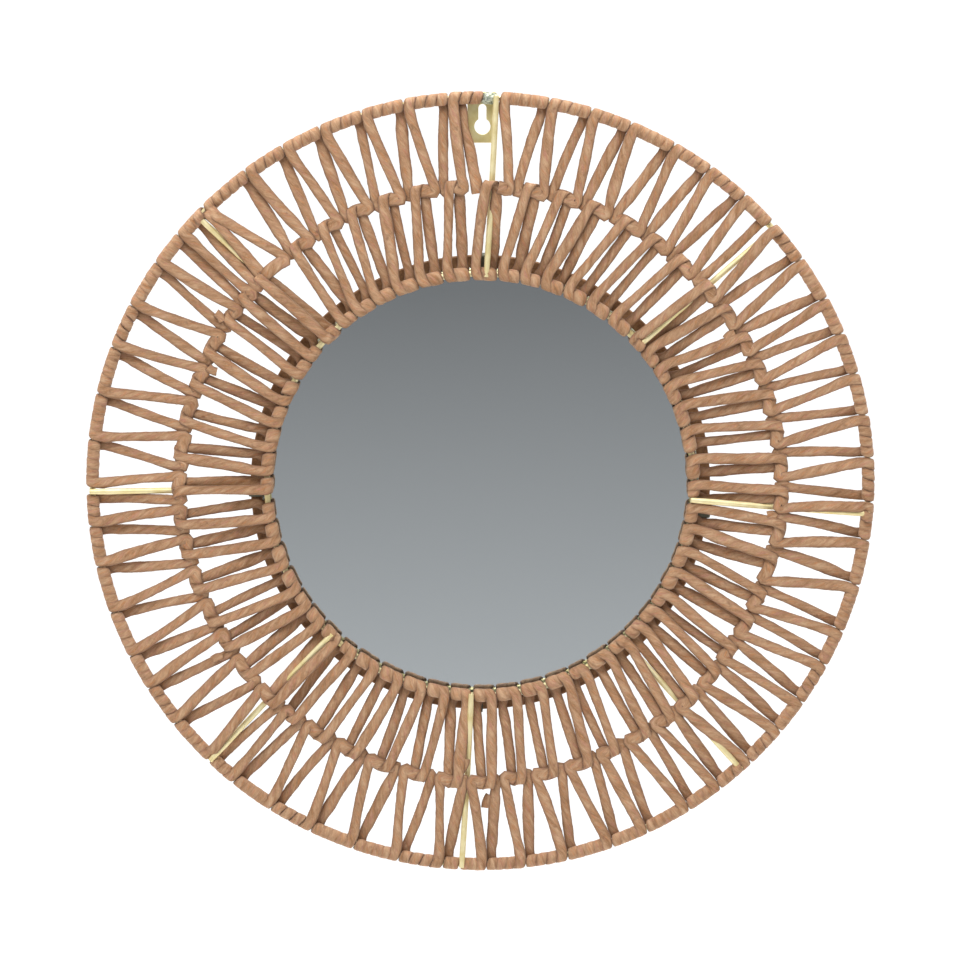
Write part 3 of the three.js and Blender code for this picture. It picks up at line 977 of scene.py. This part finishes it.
def inner_fill(cell):
    """The middle and the girth of the wrap that fills the inner ring between a cell's front
    strand and the next cell's, or up to a spoke's end that shows between them."""
    half_strand = math.degrees(0.53 * CORD_WIDTH / INNER_RING_RADIUS)
    half_spoke = 0.7
    start = wrap_angle(cell) - FRONT_LEAD + half_strand
    end = wrap_angle(cell + 1) - FRONT_LEAD - half_strand
    end = start + angle_between(end, start)
    for shown in SHOWN_INNER_ENDS:
        place = start + angle_between(shown, start)
        if start - half_spoke < place < end + half_spoke:
            if place - start > end - place:
                end = place - half_spoke
            else:
                start = place + half_spoke
    breadth = math.radians(end - start) * INNER_RING_RADIUS
    return (start + end) / 2, clamp(breadth / CORD_WIDTH + 0.04, 0.75, 1.4)


def inner_loop(cell):
    """Down in front of the band to the inner ring, round it twice, and up behind the band."""
    head = apex_angle(cell) - 0.3
    wrap = wrap_angle(cell)
    at_spoke = spoke_at_apex(cell) is not None
    aside, trail = (1.1, 1.5) if at_spoke else (0.95, 1.2)
    spread = BACK_SPREAD.get(cell, 0.95)
    lead = FRONT_LEAD
    front = INNER_FRONT_LEVEL
    if cell in OVER_INNER_END:
        front = OVER_SPOKE
        aside = 0.65
        lead = FRONT_LEAD - 0.8
    if cell in COVERING:
        front = OVER_SPOKE
        aside, lead = COVERING[cell]
    level = band_depth(head)
    rim = HEAD_RADIUS + 0.3 * wobble(cell, 5)
    low_radius = INNER_RING_RADIUS + STRAND_START
    front_top = polar(rim - 4.5, head - aside, level - 1.35)
    front_low = polar(low_radius, wrap - lead, -front)
    back_low = polar(low_radius, wrap + trail, STRAND_LEVEL)
    back_top = polar(rim - 4.5, head + spread, level + 1.05)
    across = clockwise(head)
    route = [
        (polar(rim - 0.5, head + 0.5 * spread, level + 0.8), across, HEAD_GIRTH),
        (polar(rim, head, level - 0.1), across, HEAD_GIRTH),
        (polar(rim - 0.4, head - 0.5 * aside, level - 1.0), across, HEAD_GIRTH),
        (front_top, None, 1.0),
    ]
    route += strand(front_top, front_low, 4, random.uniform(-0.4, 0.4))
    route.append((front_low, None, 1.0))
    fill, girth = inner_fill(cell)
    turns = -FRONT_TURN, FRONT_TURN - 540
    route += wraps(INNER_RING_RADIUS, (wrap - lead, fill), turns, -360, INNER_ENDS, (1.08, girth))
    route.append((back_low, None, BACK_GIRTH))
    route += strand(back_low, back_top, 4, random.uniform(-0.4, 0.4))
    route.append((back_top, None, BACK_GIRTH))
    return settled(route, closed=True)


def right_run():
    """The outer cord of the right-hand run, from its knot at the top to its end at the bottom."""
    first = outer_loop(0)
    route = first[len(first) // 2:]
    for cell in range(1, CELLS // 2 + 1):
        route += ring_wraps(cell - 1) + outer_loop(cell)
    angles = ring_side(CELLS // 2, 1), RIGHT_RUN_END
    route += wraps(OUTER_RING_RADIUS, angles, (FRONT_TURN, CLOSING_TURN), CLOSING_FRONT, OUTER_ENDS)
    return settled(route)


def left_run():
    """The outer cord of the left-hand run, from the bottom to its last wraps at the top."""
    first = CELLS // 2 + 1
    angles = LEFT_RUN_START, ring_side(first, -1)
    turns = BACK_TURN, CLOSING_TURN - FRONT_TURN
    route = wraps(OUTER_RING_RADIUS, angles, turns, CLOSING_FRONT, OUTER_ENDS)
    for cell in range(first, CELLS):
        last = cell == CELLS - 1
        route += outer_loop(cell, LAST_FOOT if last else None)
        if not last:
            route += ring_wraps(cell)
    angles = ring_side(CELLS - 1, 1), LEFT_RUN_END
    route += wraps(OUTER_RING_RADIUS, angles, (FRONT_TURN, CLOSING_TURN), CLOSING_FRONT, OUTER_ENDS)
    return settled(route)


def last_strand():
    """The left run's end: down past the hanger plate, over its corner, to a broad cut end."""
    route = []
    for radius, angle, depth, girth in (
        (195.5, -3.0, 2.2, 0.9),
        (191.0, -2.6, 1.0, 0.8),
        (182.0, -2.5, -0.4, 0.85),
        (171.5, -1.8, -1.6, 1.12),
        (161.0, -1.25, -3.0, 1.1),
        (154.0, -0.75, -4.2, 1.22),
        (149.2, -0.45, -4.6, 1.26),
    ):
        route.append((polar(radius, angle, depth), None, girth))
    return settled(route)


def crossing_strand():
    """The strand that is lashed over a spoke's end at the upper left and covers the spoke."""
    spoke = SPOKES[-1][0]
    angles = spoke - 0.6, spoke + 1.2
    route = wraps(OUTER_RING_RADIUS, angles, (BACK_TURN, 700), 690, [spoke])
    top, foot = 190.5, 152.5
    for share, girth in ((0.0, 0.88), (0.25, 0.95), (0.5, 1.05), (0.75, 1.2), (1.0, 1.35)):
        radius = top + (foot - top) * share
        angle = spoke + 1.3 - share + 0.25 * math.sin(math.pi * share)
        route.append((polar(radius, angle, -4.9 - 0.9 * math.sqrt(share)), None, girth))
    return settled(route)


def tail(angle, radius, turn, length, depth):
    """A short cut end of cord that sticks out of the band: turn is 0 away from the mirror's
    middle, and 90 clockwise round it."""
    start = polar(radius, angle, depth)
    theta = math.radians(turn)
    way = polar(1, angle) * math.cos(theta) + clockwise(angle) * math.sin(theta)
    side = clockwise(angle) * math.cos(theta) - polar(1, angle) * math.sin(theta)
    points = [start, start + way * length * 0.5 + side * 0.6, start + way * length]
    return settled([(point, None, 0.82) for point in points])


# Cord

# Each tail's angle, radius, turn, length and depth
TAILS = [
    (58.5, 150.5, 175, 5.5, -2.2),
    (95.5, 151.0, 180, 5.0, -6.5),
    (178.3, 160.0, 20, 7.0, -2.6),
    (184.0, 147.5, 200, 7.5, -6.0),
    (236.3, 158.0, 15, 5.5, -2.4),
    (294.0, 150.5, 185, 5.0, -2.4),
    (303.0, 155.0, 20, 5.5, -2.4),
]

right_inner = [inner_loop(cell) for cell in range(0, CELLS // 2 + 1)]
left_inner = [inner_loop(cell) for cell in range(CELLS // 2 + 1, CELLS)]
right_outer = [right_run()]
right_outer += [tail(*spec) for spec in TAILS if spec[0] < RIGHT_RUN_END]
left_outer = [left_run(), last_strand(), crossing_strand()]
left_outer += [tail(*spec) for spec in TAILS if spec[0] > RIGHT_RUN_END]

for label, routes, node in (
    ("cord_right_outer", right_outer, "cord_weave_right"),
    ("cord_right_inner", right_inner, "cord_weave_right"),
    ("cord_left_outer", left_outer, "cord_weave_left"),
    ("cord_left_inner", left_inner, "cord_weave_left"),
):
    cord = lay_cord(label, routes)
    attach(cord, "root")
    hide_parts(node)


# Wire frame

def ring_route(radius):
    return [(polar(radius, i * 3, 0), clockwise(i * 3), 1.0) for i in range(120)], True


def add_weld(piece, middle, size, look, seed):
    """Adds a lumpy weld bead of the given half sizes to a piece."""
    shape = bmesh.new()
    shape.from_mesh(piece.data)
    made = bmesh.ops.create_icosphere(shape, subdivisions=3, radius=1.0)["verts"]
    for vert in made:
        way = vert.co.copy()
        lump = 1 + 0.1 * math.sin(7 * way.x + seed) * math.sin(6 * way.y)
        lump += 0.07 * math.sin(13 * way.z + 2 * seed)
        reach = Vector((way.x * size[0], way.y * size[1], way.z * size[2]))
        vert.co = in_frame(Vector(middle) + reach * lump)
    piece.data.materials.append(look)
    slot_index = len(piece.data.materials) - 1
    for face in {face for vert in made for face in vert.link_faces}:
        face.material_index = slot_index
        face.smooth = True
    shape.to_mesh(piece.data)
    shape.free()


for label, radius in (("outer_ring", OUTER_RING_RADIUS), ("inner_ring", INNER_RING_RADIUS)):
    ring = bend_wire(label + "_wire", [ring_route(radius)], WIRE_RADIUS, gold_wire)
    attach(ring, "root")
    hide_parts(label)

for number, (outer, inner, at_apex) in enumerate(SPOKES, start=1):
    low = polar(INNER_RING_RADIUS - SPOKE_OVERRUN, inner, SPOKE_DEPTH)
    high = polar(OUTER_RING_RADIUS + SPOKE_OVERRUN, outer, SPOKE_DEPTH)
    bowed = 0.35 * math.sin(2.3 * number)
    route = []
    for i in range(13):
        share = i / 12
        sway = clockwise(outer) * bowed * math.sin(math.pi * share)
        pinched = 0.86 if i in (0, 12) else 1.0
        route.append((low.lerp(high, share) + sway, clockwise(outer), pinched))
    spoke = bend_wire(f"spoke_wire_{number}", [(route, False)], WIRE_RADIUS, gold_wire)
    add_weld(spoke, polar(INNER_RING_RADIUS, inner, -1.7), (1.5, 1.2, 1.5), gold_wire, number)
    add_weld(spoke, polar(OUTER_RING_RADIUS, outer, -1.7), (1.6, 1.2, 1.6), gold_wire, number + 9)
    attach(spoke, "root")
    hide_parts(f"spoke_{number}")


# Hanger plate

def arc(centre_x, centre_y, radius, start, end, count):
    """Points along an arc between two angles in degrees, anticlockwise from the right."""
    points = []
    for i in range(count + 1):
        theta = math.radians(start + (end - start) * i / count)
        points.append((centre_x + radius * math.cos(theta), centre_y + radius * math.sin(theta)))
    return points


def hanger_plate():
    """The pressed plate with its keyhole, its edges just broken."""
    w, h, c = PLATE_WIDTH / 2, PLATE_HEIGHT, PLATE_CORNER
    outline = arc(w - c, c, c, -90, 0, 8) + arc(w - c, h - c, c, 0, 90, 8)
    outline += arc(c - w, h - c, c, 90, 180, 8) + arc(c - w, c, c, 180, 270, 8)
    neck = math.degrees(math.acos(KEYHOLE_SLOT_RADIUS / KEYHOLE_RADIUS))
    slot_top = KEYHOLE_ABOVE_BOTTOM + KEYHOLE_SLOT_REACH - KEYHOLE_SLOT_RADIUS
    keyhole = arc(0, KEYHOLE_ABOVE_BOTTOM, KEYHOLE_RADIUS, 180 - neck, 360 + neck, 40)
    keyhole += arc(0, slot_top, KEYHOLE_SLOT_RADIUS, 0, 180, 16)
    edge = 0.18
    flat = bpy.data.curves.new("hanger_plate_outline", "CURVE")
    flat.dimensions = "2D"
    flat.fill_mode = "BOTH"
    flat.extrude = (PLATE_THICKNESS / 2 - edge) * MM
    flat.bevel_depth = edge * MM
    flat.bevel_resolution = 3
    flat.offset = -edge * MM
    for points in (outline, keyhole):
        spline = flat.splines.new("POLY")
        spline.points.add(len(points) - 1)
        for spot, (x, y) in zip(spline.points, points):
            spot.co = (x * MM, y * MM, 0, 1)
        spline.use_cyclic_u = True
    drawn = bpy.data.objects.new("hanger_plate_outline", flat)
    bpy.context.scene.collection.objects.link(drawn)
    mesh = bpy.data.meshes.new_from_object(drawn.evaluated_get(bpy.context.evaluated_depsgraph_get()))
    bpy.data.objects.remove(drawn)
    base = in_frame((PLATE_CENTRE_X, PLATE_FRONT + PLATE_THICKNESS / 2, PLATE_BOTTOM_Z))
    for vert in mesh.vertices:
        x, y, z = vert.co
        vert.co = base + Vector((x, -z, y))
    shape = bmesh.new()
    shape.from_mesh(mesh)
    bmesh.ops.remove_doubles(shape, verts=shape.verts, dist=1e-6)
    bmesh.ops.recalc_face_normals(shape, faces=shape.faces)
    shape.to_mesh(mesh)
    shape.free()
    mesh.materials.clear()
    mesh.materials.append(gold_plate)
    plate = bpy.data.objects.new("hanger_plate_pressed", mesh)
    bpy.context.scene.collection.objects.link(plate)
    return plate


plate = hanger_plate()
add_weld(plate, (4.3, 0.3, 196.5), (4.9, 3.4, 3.1), weld_bead, 3)
add_weld(plate, (1.6, 1.6, 196.2), (2.0, 2.6, 1.9), weld_bead, 5)
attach(plate, "root")
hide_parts("hanger_plate")


# Glass, board and clips

def turned_disc(name, profile, looks, segments):
    """Turns a profile of (radius, depth, look) round the mirror's axis. A look is the material
    of the face that follows the point; the profile starts and ends on the axis."""
    shape = bmesh.new()
    rows = []
    for radius, depth, look in profile:
        if radius == 0:
            rows.append([shape.verts.new(in_frame((0, depth, 0)))])
        else:
            spots = [polar(radius, i * 360 / segments, depth) for i in range(segments)]
            rows.append([shape.verts.new(in_frame(spot)) for spot in spots])
    for (near, far), (radius, depth, look) in zip(zip(rows, rows[1:]), profile):
        for i in range(segments):
            j = (i + 1) % segments
            round_face = [near[i % len(near)], far[i % len(far)], far[j % len(far)], near[j % len(near)]]
            face = shape.faces.new(list(dict.fromkeys(round_face)))
            face.material_index = look
            face.smooth = True
    bmesh.ops.recalc_face_normals(shape, faces=shape.faces)
    mesh = bpy.data.meshes.new(name)
    shape.to_mesh(mesh)
    shape.free()
    for look in looks:
        mesh.materials.append(look)
    mesh.set_sharp_from_angle(angle=math.radians(30))
    piece = bpy.data.objects.new(name, mesh)
    bpy.context.scene.collection.objects.link(piece)
    return piece


ARRIS = 0.4
glass = turned_disc("mirror_glass_disc", [
    (0, GLASS_FRONT, 0),
    (GLASS_RADIUS - ARRIS, GLASS_FRONT, 0),
    (GLASS_RADIUS, GLASS_FRONT + ARRIS, 0),
    (GLASS_RADIUS, GLASS_BACK - ARRIS, 0),
    (GLASS_RADIUS - ARRIS, GLASS_BACK, 1),
    (0, GLASS_BACK, 1),
], [clear_glass, silvering], 192)
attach(glass, "root")
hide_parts("mirror_glass")

SAWN_EDGE = 0.5
board = turned_disc("backing_board_disc", [
    (0, BOARD_FRONT, 0),
    (BOARD_RADIUS - SAWN_EDGE, BOARD_FRONT, 0),
    (BOARD_RADIUS, BOARD_FRONT + SAWN_EDGE, 0),
    (BOARD_RADIUS, BOARD_BACK - SAWN_EDGE, 0),
    (BOARD_RADIUS - SAWN_EDGE, BOARD_BACK, 0),
    (0, BOARD_BACK, 0),
], [hardboard], 192)
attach(board, "root")
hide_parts("backing_board")


def clip_route(angle):
    """A clip's middle line: from behind the ring out past the board's edge and in behind it."""
    half = CLIP_THICKNESS / 2
    outside = BOARD_RADIUS + 0.3 + half
    front = CLIP_FRONT + half
    back = BOARD_BACK + 0.3 + half
    bend = CLIP_BEND_RADIUS - half
    line = [(CLIP_FOOT_RADIUS, front), (110, front), (113, front)]
    line += [(x, front + bend - y) for x, y in arc(outside - bend, 0, bend, 90, 0, 4)]
    line += [(x, back - bend - y) for x, y in arc(outside - bend, 0, bend, 0, -90, 4)]
    line += [(112, back), (108, back), (CLIP_TAIL_RADIUS, back)]
    return [(polar(radius, angle, depth), clockwise(angle), 1.0) for radius, depth in line], False


for number, angle in enumerate(CLIP_ANGLES, start=1):
    clip = sweep(f"board_clip_strip_{number}", [clip_route(angle)], flat_cord, {
        "Step": 0.5 * MM,
        "Sides": 24,
        "Width": CLIP_WIDTH * MM,
        "Thickness": CLIP_THICKNESS * MM,
        "Lay": CORD_LAY * MM,
        "Ridge": 0.0,
        "Finish": dark_steel,
    })
    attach(clip, "root")
    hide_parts(f"board_clip_{number}")
